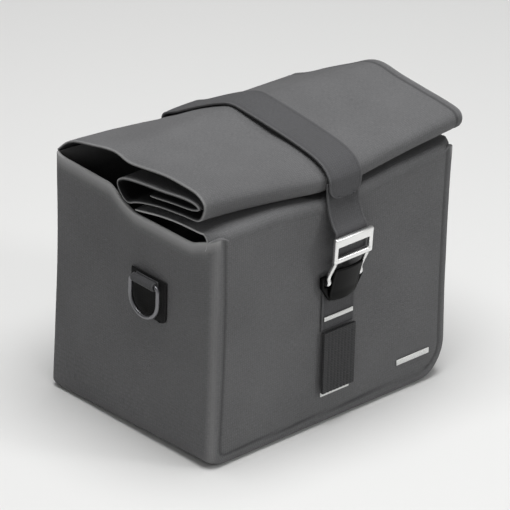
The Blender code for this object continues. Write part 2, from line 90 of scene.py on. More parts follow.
def soft_box(name, place, aim, size, power):
    bpy.ops.object.select_all(action="DESELECT")
    bpy.ops.object.light_add(type="AREA", location=place)
    light = bpy.context.object
    light.name = name
    light.data.shape = "DISK"
    light.data.size = size
    light.data.energy = power
    light.rotation_euler = (Vector(place) - Vector(aim)).to_track_quat("Z", "Y").to_euler()
    return light


bag_middle = (0, 0, 0.09)
soft_box("overhead_box", (-0.05, -0.08, 1.3), bag_middle, 0.9, 15.5)
soft_box("right_front_box", (1.0, -1.5, 0.9), bag_middle, 0.5, 7)
soft_box("left_box", (-1.5, -0.9, 0.8), bag_middle, 0.8, 1.5)
world = bpy.data.worlds.new("studio")
bpy.context.scene.world = world
world.use_nodes = True
world.node_tree.nodes["Background"].inputs["Color"].default_value = (1, 1, 1, 1)
world.node_tree.nodes["Background"].inputs["Strength"].default_value = 0.22
bpy.context.scene.view_settings.view_transform = "Standard"
bpy.ops.object.select_all(action="DESELECT")
bpy.ops.mesh.primitive_plane_add(size=12)
floor = bpy.context.object
floor.name = "floor"
# White paper sweep: pale, matt and even, without any grain to see.
floor_finish, _, floor_shader = new_material("white_paper_sweep")
floor_shader.inputs["Base Color"].default_value = linear("#e6e6e5")
floor_shader.inputs["Roughness"].default_value = 0.9
floor.data.materials.append(floor_finish)

# Main bag: one hollow shell of coated heather cloth over a stiff board. Its front panel is a separate cut,
# sewn to the wrap of sides and base by a seam a few millimetres in from its outline, and the top edge is
# turned and rounded.
shell_low, shell_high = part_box("body_shell")
half_width = shell_high.x + 0.0002
half_depth = shell_high.y
bag_height = 0.152
cloth_wall = 0.002
front_corner = 0.007
back_corner = 0.004
base_round_right = 0.024
base_round_left = 0.012
base_round_back = 0.005
base_edge_round = 0.005
waist = 0.0015
seam_inset = 0.0078
seam_depth = 0.0007
seam_half = 0.0009

# Top edge as shares of the height: left and right from back to front, back and front from left to right.
left_edge = (
    (0, 1.0),
    (0.06, 0.99),
    (0.35, 0.984),
    (0.43, 0.938),
    (0.5, 0.914),
    (0.85, 0.914),
    (0.92, 0.942),
    (1, 0.974),
)
right_edge = ((0, 0.934), (0.08, 0.914), (0.5, 0.912), (0.88, 0.914), (0.94, 0.95), (1, 0.987))
back_edge = ((0, 1.0), (0.2, 0.982), (0.5, 0.954), (0.8, 0.94), (1, 0.934))
front_edge = (
    (0, 0.974),
    (0.08, 0.984),
    (0.25, 0.983),
    (0.45, 0.960),
    (0.58, 0.960),
    (0.78, 0.982),
    (0.93, 0.992),
    (1, 0.987),
)


def smooth(value):
    value = min(1.0, max(0.0, value))
    return value * value * (3 - 2 * value)


def read_rows(rows, at, column=1):
    """A column's value between two rows, eased so that the curve has no corners."""
    if at <= rows[0][0]:
        return rows[0][column]
    for low, high in zip(rows, rows[1:]):
        if at <= high[0]:
            share = (at - low[0]) / (high[0] - low[0])
            share = 0.5 * (share + smooth(share))
            return low[column] + share * (high[column] - low[column])
    return rows[-1][column]


def top_edge(across, depth):
    """Height of the top edge at shares of width and depth."""
    sides = (1 - across) * read_rows(left_edge, depth) + across * read_rows(right_edge, depth)
    ends = (1 - depth) * read_rows(back_edge, across) + depth * read_rows(front_edge, across)
    corners = (1 - across) * ((1 - depth) * left_edge[0][1] + depth * left_edge[-1][1])
    corners += across * ((1 - depth) * right_edge[0][1] + depth * right_edge[-1][1])
    return bag_height * (sides + ends - corners)


def base_round(across, depth):
    front = base_round_left + (base_round_right - base_round_left) * smooth(across)
    return base_round_back + (front - base_round_back) * depth


def round_inset(height, radius):
    if height >= radius:
        return 0.0
    return radius - math.sqrt(radius**2 - (radius - height) ** 2)


def side_wall_x(height):
    return half_width - waist * math.sin(math.pi * min(max(height, 0) / bag_height, 1))


def spaced(start, end, fine, coarse, reach):
    """Places from start to end, fine within reach of both ends and coarse between."""
    places = [start]
    while places[-1] < end:
        near = min(places[-1] - start, end - places[-1])
        places.append(places[-1] + (fine if near < reach else coarse))
    scale = (end - start) / (places[-1] - start)
    return [start + (place - start) * scale for place in places[:-1]]


def outline_columns():
    """The shell's columns from above, anticlockwise from the back: (place, outward normal)."""
    x, y = half_width, half_depth
    runs = (
        ((0, y), (-x, y), back_corner, 0.005, 0.006, 0),
        ((-x, y), (-x, -y), front_corner, 0.0035, 0.004, 0),
        ((-x, -y), (x, -y), front_corner, 0.0013, 0.004, 0.028),
        ((x, -y), (x, y), back_corner, 0.0035, 0.004, 0),
        ((x, y), (0, y), None, 0.005, 0.006, 0),
    )
    columns = []
    lead = 0.0
    for start, end, corner, fine, coarse, reach in runs:
        start, end = Vector(start), Vector(end)
        way = (end - start).normalized()
        out = Vector((way.y, -way.x))
        length = (end - start).length
        stop = length - (corner or 0)
        for place in spaced(lead, stop, fine, coarse, reach):
            columns.append((start + way * place, out))
        if corner:
            centre = start + way * stop - out * corner
            for step in range(8):
                turn = math.pi / 2 * step / 8
                normal = out * math.cos(turn) + way * math.sin(turn)
                columns.append((centre + normal * corner, normal))
            lead = corner
    columns.append((Vector((0, y)), Vector((0, 1))))
    return columns


def panel_seam(x, z):
    """How far a point of the front panel lies inside its outline."""
    across = x / (2 * half_width) + 0.5
    radius = base_round(across, 1.0)
    edge = side_wall_x(z)
    if abs(x) > edge - radius and z < radius:
        return radius - math.hypot(abs(x) - (edge - radius), radius - z)
    return min(edge - abs(x), z)


def cloth_relief(point, normal):
    """Slow waves and small dents of the cloth, outwards in metres."""
    slow = noise.noise(Vector((point.x * 18, point.y * 18 + 3.1, point.z * 14)))
    quick = noise.noise(Vector((point.x * 55 + 7.7, point.y * 55, point.z * 38)))
    return 0.0005 * slow + 0.00016 * quick


def lay_grid(name, rows):
    """A grid primitive laid through rows of places, with a UV map in metres of cloth."""
    count, lines = len(rows[0]), len(rows)
    bpy.ops.object.select_all(action="DESELECT")
    bpy.ops.mesh.primitive_grid_add(x_subdivisions=count - 1, y_subdivisions=lines - 1, calc_uvs=True)
    piece = bpy.context.object
    piece.name = name
    piece.data.vertices.foreach_set("co", [c for row in rows for place in row for c in place])
    across = [0.0]
    middle = rows[lines // 2]
    for first, second in zip(middle, middle[1:]):
        across.append(across[-1] + (second - first).length)
    along = [0.0]
    for first, second in zip(rows, rows[1:]):
        along.append(along[-1] + (second[count // 2] - first[count // 2]).length)
    cloth_map = piece.data.uv_layers.active
    cloth_map.name = "cloth"
    for loop in piece.data.loops:
        row, column = divmod(loop.vertex_index, count)
        cloth_map.data[loop.index].uv = (across[column], along[row])
    piece.data.update()
    return piece


def mark(piece, name, values):
    """A value for each vertex, which a material reads by this name."""
    layer = piece.data.attributes.new(name, "FLOAT", "POINT")
    layer.data.foreach_set("value", values)


def only(piece):
    bpy.ops.object.select_all(action="DESELECT")
    piece.select_set(True)
    bpy.context.view_layer.objects.active = piece


def finish_with(piece, kind, **settings):
    """Adds one modifier and applies it."""
    only(piece)
    modifier = piece.modifiers.new(kind.lower(), kind)
    for key, value in settings.items():
        setattr(modifier, key, value)
    bpy.ops.object.modifier_apply(modifier=modifier.name)


def clean_up(piece, reach=0.00001):
    """Merges doubles and turns the faces outwards."""
    only(piece)
    bpy.ops.object.mode_set(mode="EDIT")
    bpy.ops.mesh.select_all(action="SELECT")
    bpy.ops.mesh.remove_doubles(threshold=reach)
    bpy.ops.mesh.normals_make_consistent(inside=False)
    bpy.ops.object.mode_set(mode="OBJECT")


def add_node(tree, kind, settings, links=()):
    """A node with its settings, named inputs or properties, and its links from other nodes' outputs."""
    node = tree.nodes.new(kind)
    for key, value in settings.items():
        if isinstance(key, int) or key in node.inputs:
            node.inputs[key].default_value = value
        else:
            setattr(node, key, value)
    for key, output in dict(links).items():
        tree.links.new(output, node.inputs[key])
    return node


def cloth_finish(name, dark, light, edge):
    """Coated heather polyester: a fine plain weave of dark and light threads under a matt coating.

    It reads as an even grey with a soft grain. The real threads lie 0.4 mm apart and are drawn 1.5 mm apart
    to show.
    """
    made, tree, shader = new_material(name)
    cloth = add_node(tree, "ShaderNodeUVMap", {"uv_map": "cloth"}).outputs["UV"]
    place = add_node(tree, "ShaderNodeTexCoord", {}).outputs["Object"]
    thread_step = 0.0015
    per_metre = 0.314 / thread_step
    waves = []
    for direction in ("X", "Y"):
        bands = {"bands_direction": direction, "Scale": per_metre, "Distortion": 1.2, "Detail Scale": 0.4}
        waves.append(add_node(tree, "ShaderNodeTexWave", bands, {"Vector": cloth}).outputs["Fac"])
    both_ways = {0: waves[0], 1: waves[1]}
    weave = add_node(tree, "ShaderNodeMath", {"operation": "MULTIPLY"}, both_ways).outputs[0]
    # Heather: threads of two greys run a few millimetres each, along and across.
    slubs = []
    for stretch in ((420, 2600, 1), (2600, 420, 1)):
        drawn = add_node(tree, "ShaderNodeMapping", {"Scale": stretch}, {"Vector": cloth})
        slub_links = {"Vector": drawn.outputs["Vector"]}
        slub = add_node(tree, "ShaderNodeTexNoise", {"Scale": 1.0, "Detail": 1.0}, slub_links)
        slubs.append(slub.outputs["Fac"])
    heather = add_node(tree, "ShaderNodeMath", {"operation": "ADD"}, {0: slubs[0], 1: slubs[1]}).outputs[0]
    handled = add_node(
        tree, "ShaderNodeTexNoise", {"Scale": 26.0, "Detail": 4.0, "Roughness": 0.6}, {"Vector": place}
    ).outputs["Fac"]
    weave_share = {"operation": "MULTIPLY_ADD", 1: 0.25, 2: -0.85}
    woven = add_node(tree, "ShaderNodeMath", weave_share, {0: weave}).outputs[0]
    heather_share = {"operation": "MULTIPLY_ADD", 1: 0.9}
    tone = add_node(tree, "ShaderNodeMath", heather_share, {0: heather, 2: woven}).outputs[0]
    handled_share = {"operation": "MULTIPLY_ADD", 1: 0.8, "use_clamp": True}
    worn = add_node(tree, "ShaderNodeMath", handled_share, {0: handled, 2: tone})
    greys = add_node(tree, "ShaderNodeMix", {"data_type": "RGBA"}, {"Factor": worn.outputs[0]})
    greys.inputs[6].default_value = linear(dark)
    greys.inputs[7].default_value = linear(light)
    # The "edge" marks lighten towards the edge colour: the pale cut ends and worn edges of the cloth, and on
    # the shell a painted highlight along its lip, rim and front left corner.
    pale_edge_and_highlight = add_node(tree, "ShaderNodeAttribute", {"attribute_name": "edge"}).outputs["Fac"]
    with_pale_edges_and_highlights = add_node(tree, "ShaderNodeMix", {"data_type": "RGBA"}, {"Factor": pale_edge_and_highlight})
    tree.links.new(greys.outputs[2], with_pale_edges_and_highlights.inputs[6])
    with_pale_edges_and_highlights.inputs[7].default_value = linear(edge)
    seam = add_node(tree, "ShaderNodeAttribute", {"attribute_name": "seam"}).outputs["Fac"]
    shaded = add_node(tree, "ShaderNodeMath", {"operation": "MULTIPLY", 1: 0.55}, {0: seam}).outputs[0]
    seamed = add_node(tree, "ShaderNodeMix", {"data_type": "RGBA"}, {"Factor": shaded})
    tree.links.new(with_pale_edges_and_highlights.outputs[2], seamed.inputs[6])
    seamed.inputs[7].default_value = linear("#1c1c1d")
    inside = add_node(tree, "ShaderNodeAttribute", {"attribute_name": "reverse"}).outputs["Fac"]
    coated = add_node(tree, "ShaderNodeMix", {"data_type": "RGBA"}, {"Factor": inside})
    tree.links.new(seamed.outputs[2], coated.inputs[6])
    coated.inputs[7].default_value = linear("#161617")
    tree.links.new(coated.outputs[2], shader.inputs["Base Color"])
    height = add_node(
        tree, "ShaderNodeMath", {"operation": "MULTIPLY_ADD", 1: 0.5}, {0: heather, 2: weave}
    ).outputs[0]
    bump = add_node(tree, "ShaderNodeBump", {"Strength": 0.3, "Distance": 0.00025}, {"Height": height})
    tree.links.new(bump.outputs["Normal"], shader.inputs["Normal"])
    dull = {"From Min": 0.3, "From Max": 0.7, "To Min": 0.72, "To Max": 0.88}
    rough = add_node(tree, "ShaderNodeMapRange", dull, {"Value": handled})
    tree.links.new(rough.outputs["Result"], shader.inputs["Roughness"])
    shader.inputs["Specular IOR Level"].default_value = 0.15
    shader.inputs["Sheen Weight"].default_value = 0.04
    shader.inputs["Sheen Roughness"].default_value = 0.5
    return made


def place_piece(piece, material, body, node):
    """Gives a finished piece its material and its body, and hides the CAD node that it replaces."""
    piece.data.materials.clear()
    piece.data.materials.append(material)
    only(piece)
    bpy.ops.object.transform_apply(location=True, rotation=True, scale=True)
    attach(piece, body)
    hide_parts(node)


# Its edge colour #a8a8a8 is the pale of the cut ends and also the painted highlight on the shell's lip, rim
# and front left corner.
body_cloth = cloth_finish("coated_heather_cloth", "#555556", "#6e6e6f", "#a8a8a8")

round_steps = [7.5 * step for step in range(13)]
lift_steps = (0.25, 0.5, 0.75, 1.0)
lift_height = 0.030
wall_steps = [step / 34 for step in range(1, 35)]
rim_steps = ((0.0006, 0.0), (0.0010, 0.3), (0.0012, 0.6), (0.0010, 1.0), (0.0006, 1.0), (0.0, 1.0))
inner_steps = (0.9, 0.75, 0.5, 0.25, 0.04, 0.0)
shell_rows = []
edge_and_highlight_marks = []
seam_marks = []


def outer_place(plan, normal, z, depth_in=0.0):
    """A place on the outer wall, or depth_in inside it."""
    across = plan.x / (2 * half_width) + 0.5
    depth = 0.5 - plan.y / (2 * half_depth)
    inset = round_inset(z, base_round(across, depth)) + waist * math.sin(math.pi * min(z / bag_height, 1))
    x = plan.x * (1 - inset / half_width)
    y = plan.y * (1 - round_inset(z, base_edge_round) / half_depth)
    return Vector((x, y, z)) - Vector((normal.x, normal.y, 0)) * depth_in


columns = outline_columns()
tops = []
rounds = []
for plan, normal in columns:
    across = plan.x / (2 * half_width) + 0.5
    depth = 0.5 - plan.y / (2 * half_depth)
    # Under the front fold the shell's own edge lies lower, but not at its corners.
    under_fold = smooth(-1.6 * normal.y) * smooth((half_width - abs(plan.x) - 0.004) / 0.008)
    tops.append(top_edge(across, depth) - 0.0034 * under_fold)
    rounds.append(base_round(across, depth))
heights = [[radius * (1 - math.cos(math.radians(turn))) for radius in rounds] for turn in round_steps]
heights += [[radius + (lift_height - radius) * share for radius in rounds] for share in lift_steps]
heights += [[lift_height + (top - lift_height) * share for top in tops] for share in wall_steps]
for level in heights:
    row = []
    for (plan, normal), z, top in zip(columns, level, tops):
        place = outer_place(plan, normal, z)
        frontal = smooth((-normal.y - 0.9) / 0.1)
        inside = panel_seam(place.x, z)
        groove = frontal * math.exp(-(((inside - seam_inset) / seam_half) ** 2))
        calm = smooth(z / 0.012)
        out = cloth_relief(place, normal) * calm - seam_depth * groove * calm
        row.append(place + Vector((normal.x, normal.y, 0)) * out)
        # Painted highlight: a pale band just under the top edge of the sides and back, where the rounded lip
        # catches the light.
        lip_highlight = math.exp(-(((top - z) / 0.0045) ** 2)) * (1 - frontal)
        # Painted highlight: a narrow pale band down the rounded front left corner.
        corner_highlight = 0.0
        if place.x < 0:
            past_corner = half_width + place.x - 0.0032
            corner_highlight = 0.25 * smooth(-1.5 * normal.y) * math.exp(-((past_corner / 0.0024) ** 2))
        edge_and_highlight_marks.append(max(0.75 * lip_highlight, corner_highlight))
        seam_marks.append(groove)
    shell_rows.append(row)
for rise, share in rim_steps:
    row = []
    for (plan, normal), top in zip(columns, tops):
        # Painted highlight along the top of the rounded rim, faint at the front.
        edge_and_highlight_marks.append(0.75 - 0.7 * smooth(-1.6 * normal.y))
        place = outer_place(plan, normal, top, cloth_wall * share)
        place.z += rise
        row.append(place)
        seam_marks.append(0.0)
    shell_rows.append(row)
for share in inner_steps:
    row = []
    for (plan, normal), top in zip(columns, tops):
        z = cloth_wall + share * (top - cloth_wall)
        place = outer_place(plan, normal, z, cloth_wall)
        row.append(place)
        edge_and_highlight_marks.append(0.0)
        seam_marks.append(0.0)
    shell_rows.append(row)
shell = lay_grid("bag_shell", shell_rows)
mark(shell, "edge", edge_and_highlight_marks)
mark(shell, "seam", seam_marks)
clean_up(shell, 0.00002)
finish_with(shell, "SUBSURF", levels=1, render_levels=1)
only(shell)
bpy.ops.object.mode_set(mode="EDIT")
bpy.ops.mesh.select_all(action="DESELECT")
bpy.ops.mesh.select_non_manifold()
bpy.ops.mesh.edge_face_add()
bpy.ops.mesh.select_all(action="SELECT")
bpy.ops.mesh.normals_make_consistent(inside=False)
bpy.ops.object.mode_set(mode="OBJECT")
bpy.ops.object.shade_smooth()
place_piece(shell, body_cloth, "bag", "body_shell")

# Rolled top: the back panel's cloth carried up over the opening, turned forwards over a nose and wound
# inside in flat turns. The strap draws it down in the middle, and its cut ends show as pale edges with dark
# gaps between.
roll_rise = 0.0245
roll_cloth = 0.0016
strap_middle = 0.0022
strap_width = 0.025
roll_section = (
    # left depth, left rise, middle depth, middle rise, right depth, right rise
    (0.101, 0.53, 0.087, 0.08, 0.087, -0.12),
    (0.268, 0.78, 0.217, 0.51, 0.203, 0.24),
    (0.384, 0.90, 0.341, 0.86, 0.326, 0.61),
    (0.464, 0.84, 0.420, 1.00, 0.435, 0.94),
    (0.558, 0.90, 0.522, 0.92, 0.522, 1.06),
    (0.681, 1.00, 0.652, 0.82, 0.638, 0.98),
    (0.790, 0.98, 0.783, 0.78, 0.783, 0.92),
    (0.884, 0.90, 0.913, 0.65, 0.920, 0.86),
    (0.935, 0.69, 0.989, 0.43, 0.993, 0.78),
    (0.931, 0.41, 0.996, 0.16, 1.007, 0.53),
    (0.899, 0.18, 0.957, -0.06, 0.964, 0.27),
    (0.804, 0.12, 0.826, -0.12, 0.833, 0.12),
    (0.659, 0.02, 0.674, -0.18, 0.681, 0.00),
    (0.536, -0.14, 0.551, -0.24, 0.551, -0.12),
    (0.464, -0.29, 0.478, -0.27, 0.478, -0.20),
    (0.413, -0.08, 0.435, 0.00, 0.435, 0.04),
    (0.399, 0.16, 0.428, 0.29, 0.435, 0.33),
    (0.449, 0.33, 0.478, 0.45, 0.486, 0.53),
    (0.558, 0.43, 0.580, 0.47, 0.594, 0.57),
    (0.681, 0.51, 0.696, 0.41, 0.703, 0.57),
    (0.804, 0.61, 0.812, 0.35, 0.812, 0.57),
    (0.877, 0.61, 0.884, 0.31, 0.884, 0.55),
    (0.905, 0.50, 0.903, 0.21, 0.910, 0.44),
    (0.860, 0.38, 0.860, 0.11, 0.870, 0.34),
    (0.740, 0.29, 0.740, 0.10, 0.740, 0.30),
    (0.600, 0.17, 0.600, 0.08, 0.600, 0.21),
)
hem_inset = 0.0045


def smooth_route(points, steps):
    """A smooth curve through every point, with this many steps between two of them."""
    padded = [2 * points[0] - points[1], *points, 2 * points[-1] - points[-2]]
    route = []
    for i in range(1, len(padded) - 2):
        before, start, end, after = padded[i - 1 : i + 3]
        for step in range(steps):
            t = step / steps
            square = 2 * before - 5 * start + 4 * end - after
            cube = 3 * start - before - 3 * end + after
            route.append(0.5 * (2 * start + (end - before) * t + square * t**2 + cube * t**3))
    route.append(points[-1])
    return route


def strap_pull(x):
    """1 under the closure strap, falling to 0 at the bag's ends."""
    reach = max(0.0, abs(x - strap_middle) - strap_width / 2 - 0.002)
    return (1 - min(1.0, reach / (half_width - strap_width / 2))) ** 1.3


def section_place(x, depth, rise):
    return Vector((x, half_depth - depth * 2 * half_depth, bag_height + rise * roll_rise))


def thicken(piece, thickness, offset, reverse=1.0):
    """Gives a sheet its thickness, and marks its second face, the black coated reverse."""
    count = len(piece.data.vertices)
    finish_with(piece, "SOLIDIFY", thickness=thickness, offset=offset, use_even_offset=True)
    mark(piece, "reverse", [0.0] * count + [reverse] * (len(piece.data.vertices) - count))


roll_low, roll_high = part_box("roll_top")
stations = [roll_low.x, roll_low.x + 0.0006, roll_low.x + 0.0018]
stations += spaced(roll_low.x + 0.003, roll_high.x - 0.008, 0.0036, 0.0036, 0)
hem_reaches = (0.008, 0.0062, 0.0052, 0.0045, 0.0038, 0.0028, 0.0016, 0.0006, 0)
stations += [roll_high.x - reach for reach in hem_reaches]
roll_rows = []
edge_and_highlight_marks = []
seam_marks = []
for x in stations:
    pull = strap_pull(x)
    across = min(1, max(0, x / (2 * half_width) + 0.5))
    seam_z = top_edge(across, 0) + 0.0009
    places = [Vector((x, half_depth - 0.0003, seam_z))]
    places.append(Vector((x, half_depth - 0.0010, seam_z + roll_cloth)))
    for row in roll_section:
        end = row[0:2] if x < 0 else row[4:6]
        depth = row[2] * pull + end[0] * (1 - pull)
        rise = row[3] * pull + end[1] * (1 - pull)
        places.append(section_place(x, depth, rise))
    curve = smooth_route(places, 4)
    shaped = []
    from_left = x - roll_low.x
    from_right = roll_high.x - x
    hem = math.exp(-(((from_right - hem_inset) / 0.0008) ** 2))
    for i, place in enumerate(curve):
        ahead = curve[min(i + 1, len(curve) - 1)] - curve[max(i - 1, 0)]
        normal = ahead.cross(Vector((1, 0, 0))).normalized()
        calm = smooth(i / 8) * smooth((60 - i) / 20)
        ease = smooth((40 - i) / 12) * smooth((i - 12) / 10)
        droop = 0.0018 * max(0.0, 1 - from_left / 0.008) ** 2 * ease
        out = (cloth_relief(place * 1.3, normal) * 1.2 - 0.0004 * hem - droop) * calm
        tuck = max(0.0, 1 - from_left / 0.02) ** 2 - max(0.0, 1 - from_right / 0.02) ** 2
        tuck *= 0.003 * smooth((12 - i) / 10)
        shaped.append(place + normal * out + Vector((tuck, 0, 0)))
        from_end = min(from_left, from_right)
        edge_and_highlight_marks.append(0.6 if from_end < 0.0005 else 0.2 * (from_end < 0.001))
        seam_marks.append(hem * smooth((60 - i) / 20))
    roll_rows.append(shaped)
roll = lay_grid("rolled_top", roll_rows)
mark(roll, "edge", edge_and_highlight_marks)
mark(roll, "seam", seam_marks)
thicken(roll, roll_cloth, -1)
finish_with(roll, "SUBSURF", levels=1, render_levels=1)
bpy.ops.object.shade_smooth()
place_piece(roll, body_cloth, "bag", "roll_top")

# Front fold: the front panel's own cloth, bent back in a soft curve over the top edge and drawn in under
# the roll. Its cut left end shows as one more pale edge over the side panel.
fold_depth = 0.066
fold_front = (
    # behind the front face, above the top edge
    (0.0019, -0.0085),
    (0.0006, -0.0058),
    (0.0003, -0.0030),
    (0.0010, -0.0006),
    (0.0030, 0.0012),
)
fold_section = (
    # back, drop at the ends, drop under the strap, all from just inside the front edge
    (0.06, 0.00, 0.00),
    (0.18, 0.02, 0.01),
    (0.40, 0.04, 0.02),
    (0.66, 0.12, 0.09),
    (1.00, 0.31, 0.22),
)
fold_low, fold_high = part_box("front_fold")
fold_rows = []
edge_and_highlight_marks = []
stations = [fold_low.x, fold_low.x + 0.0006]
stations += spaced(fold_low.x + 0.002, fold_high.x, 0.0035, 0.0035, 0)
stations.append(fold_high.x)
for x in stations:
    pull = strap_pull(x)
    top = top_edge(min(1, max(0, x / (2 * half_width) + 0.5)), 1)
    past = max(0.0, abs(x) - (half_width - front_corner))
    front = -half_depth + front_corner - math.sqrt(front_corner**2 - min(past, front_corner) ** 2)
    tucked = 0.0024 * (1 - smooth((half_width - abs(x) - 0.004) / 0.008))
    places = [Vector((x, front + back + tucked, top + rise)) for back, rise in fold_front]
    for back, end_drop, middle_drop in fold_section:
        drop = middle_drop * pull + end_drop * (1 - pull)
        y = -half_depth + cloth_wall + 0.0012 + back * fold_depth
        places.append(Vector((x, max(y, front + 0.0065), top + roll_cloth - drop * roll_rise)))
    line = smooth_route(places, 3)
    fold_rows.append(line)
    edge_and_highlight_marks += [1.0 if x - fold_low.x < 0.0005 else 0.0] * len(line)
fold = lay_grid("front_fold_cloth", fold_rows)
mark(fold, "edge", edge_and_highlight_marks)
thicken(fold, 0.0012, 0, 0.0)
finish_with(fold, "SUBSURF", levels=1, render_levels=1)
clean_up(fold)
bpy.ops.object.shade_smooth()
place_piece(fold, body_cloth, "bag", "front_fold")

# Closure strap: the bag's own cloth folded to a 25 mm band and edge stitched, sewn to the back panel. It
# bridges the roll's hollow, turns down at the nose and ends in a rounded tongue over the under layer, which
# runs on to the hook. Folded strap cloth: the same coated weave, a little darker and more even than the
# body.
strap_cloth = cloth_finish("folded_strap_cloth", "#464647", "#58585a", "#6c6c6d")
band_thickness = 0.0014
tongue_round = 0.007
outer_route = (
    # depth, rise
    (-0.011, -1.90),
    (-0.011, -0.55),
    (-0.010, -0.28),
    (0.004, -0.07),
    (0.080, 0.14),
    (0.212, 0.56),
    (0.336, 0.91),
    (0.418, 1.06),
    (0.520, 1.04),
    (0.650, 0.98),
    (0.770, 0.91),
    (0.860, 0.84),
    (0.930, 0.76),
    (0.985, 0.62),
    (1.019, 0.40),
    (1.024, 0.18),
    (1.026, 0.02),
    (1.027, -0.12),
)
inner_route = ((1.0065, 0.26), (1.008, 0.08), (1.012, -0.20), (1.026, -0.50), (1.048, -0.76))
hook_width = 0.0297
hook_height = 0.0165
hook_plate = 0.003
hook_cheek = 0.0026
hook_top = 0.1280
hook_standoff = 0.0120
hook_lean = math.radians(3.0)


def hook_place(across, down, out):
    """A point on the leaning hook: across, down its face from the top, and out of its middle plane."""
    origin = Vector((strap_middle, -half_depth - hook_standoff, hook_top))
    face_down = Vector((0, math.sin(hook_lean), -math.cos(hook_lean)))
    face_out = Vector((0, -math.cos(hook_lean), -math.sin(hook_lean)))
    return origin + Vector((across, 0, 0)) + face_down * down + face_out * out


def end_rows(route, corner):
    """The route with closer places near its far end, so that a corner there comes out round."""
    rows = [place for place in route if (place - route[-1]).length > corner + 0.0004]
    last = route[-1]
    way = (last - rows[-1]).normalized()
    for turn in range(0, 91, 10):
        rows.append(last - way * corner * (1 - math.sin(math.radians(turn))))
    return rows


def band(name, route, width, thickness, across=Vector((1, 0, 0)), corner=0.0, crown=0.0, wear=0.3):
    """A stitched band along a route, with stitch lines near its edges and rounded corners at its far end."""
    shares = (-1, -0.97, -0.90, -0.84, -0.78, -0.4, 0, 0.4, 0.78, 0.84, 0.90, 0.97, 1)
    if corner:
        route = end_rows(route, corner)
    rows = []
    edges = []
    seams = []
    for i, place in enumerate(route):
        left = (place - route[-1]).length
        cut = 0.0 if left >= corner else corner - math.sqrt(max(0.0, corner**2 - (corner - left) ** 2))
        ahead = route[min(i + 1, len(route) - 1)] - route[max(i - 1, 0)]
        normal = ahead.cross(across).normalized()
        row = []
        for share in shares:
            lift = crown * (1 - share**2)
            stitched = math.exp(-(((abs(share) - 0.84) / 0.035) ** 2))
            row.append(place + across * share * (width / 2 - cut) + normal * (lift - 0.00012 * stitched))
            edges.append(wear if abs(share) > 0.95 else 0.0)
            seams.append(0.3 * stitched)
        rows.append(row)
    piece = lay_grid(name, rows)
    mark(piece, "edge", edges)
    mark(piece, "seam", seams)
    finish_with(piece, "SOLIDIFY", thickness=thickness, offset=0, use_even_offset=True)
    finish_with(piece, "SUBSURF", levels=1, render_levels=1)
    clean_up(piece)
    bpy.ops.object.shade_smooth()
    return piece


outer_line = smooth_route([section_place(strap_middle, *row) for row in outer_route], 6)
outer_band = band(
    "closure_strap", outer_line, strap_width, band_thickness, corner=tongue_round, crown=0.0003
)
place_piece(outer_band, strap_cloth, "bag", "strap_outer")
behind = -hook_plate / 2 - 0.0003 - band_thickness / 2
inner_places = [section_place(strap_middle, *row) for row in inner_route]
inner_places += [hook_place(0, down, behind) for down in (-0.0015, 0.0025, hook_height - hook_cheek)]
inner_line = smooth_route(inner_places, 6)
inner_band = band("strap_under_layer", inner_line, hook_width - 2 * hook_cheek, band_thickness)
place_piece(inner_band, strap_cloth, "bag", "strap_inner")

# Hook: cast and polished aluminium, one piece. A thick top bar over a slot that holds the strap, a thin
# second bar, and two legs that reach down and in through the loop's slot.
top_bar = 0.0062
slot_height = 0.0068
leg_radius = 0.0013
leg_spread = 0.0124
loop_low, loop_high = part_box("hook_loop")
loop_bar = 0.0028
loop_slot = 0.0038


def add_block(name, low, high):
    """A cube primitive stretched between two corners."""
    bpy.ops.object.select_all(action="DESELECT")
    low, high = Vector(low), Vector(high)
    bpy.ops.mesh.primitive_cube_add(size=1, location=(low + high) / 2, scale=high - low)
    piece = bpy.context.object
    piece.name = name
    bpy.ops.object.transform_apply(location=True, rotation=True, scale=True)
    return piece


def cut_or_join(piece, other, operation):
    """Applies a Boolean with another piece and removes that piece."""
    finish_with(piece, "BOOLEAN", object=other, operation=operation, solver="EXACT")
    bpy.data.objects.remove(other, do_unlink=True)


def round_bar(name, route, radius, closed=False, sides=4):
    """A round bar along a route, as a mesh with closed ends."""
    bpy.ops.object.select_all(action="DESELECT")
    bpy.ops.curve.primitive_bezier_curve_add()
    piece = bpy.context.object
    piece.name = name
    line = piece.data
    line.splines.clear()
    line.bevel_depth = radius
    line.bevel_resolution = sides
    line.use_fill_caps = not closed
    spline = line.splines.new("POLY")
    spline.points.add(len(route) - 1)
    for point, place in zip(spline.points, route):
        point.co = (*place, 1)
    spline.use_cyclic_u = closed
    only(piece)
    bpy.ops.object.convert(target="MESH")
    piece = bpy.context.object
    clean_up(piece)
    return piece


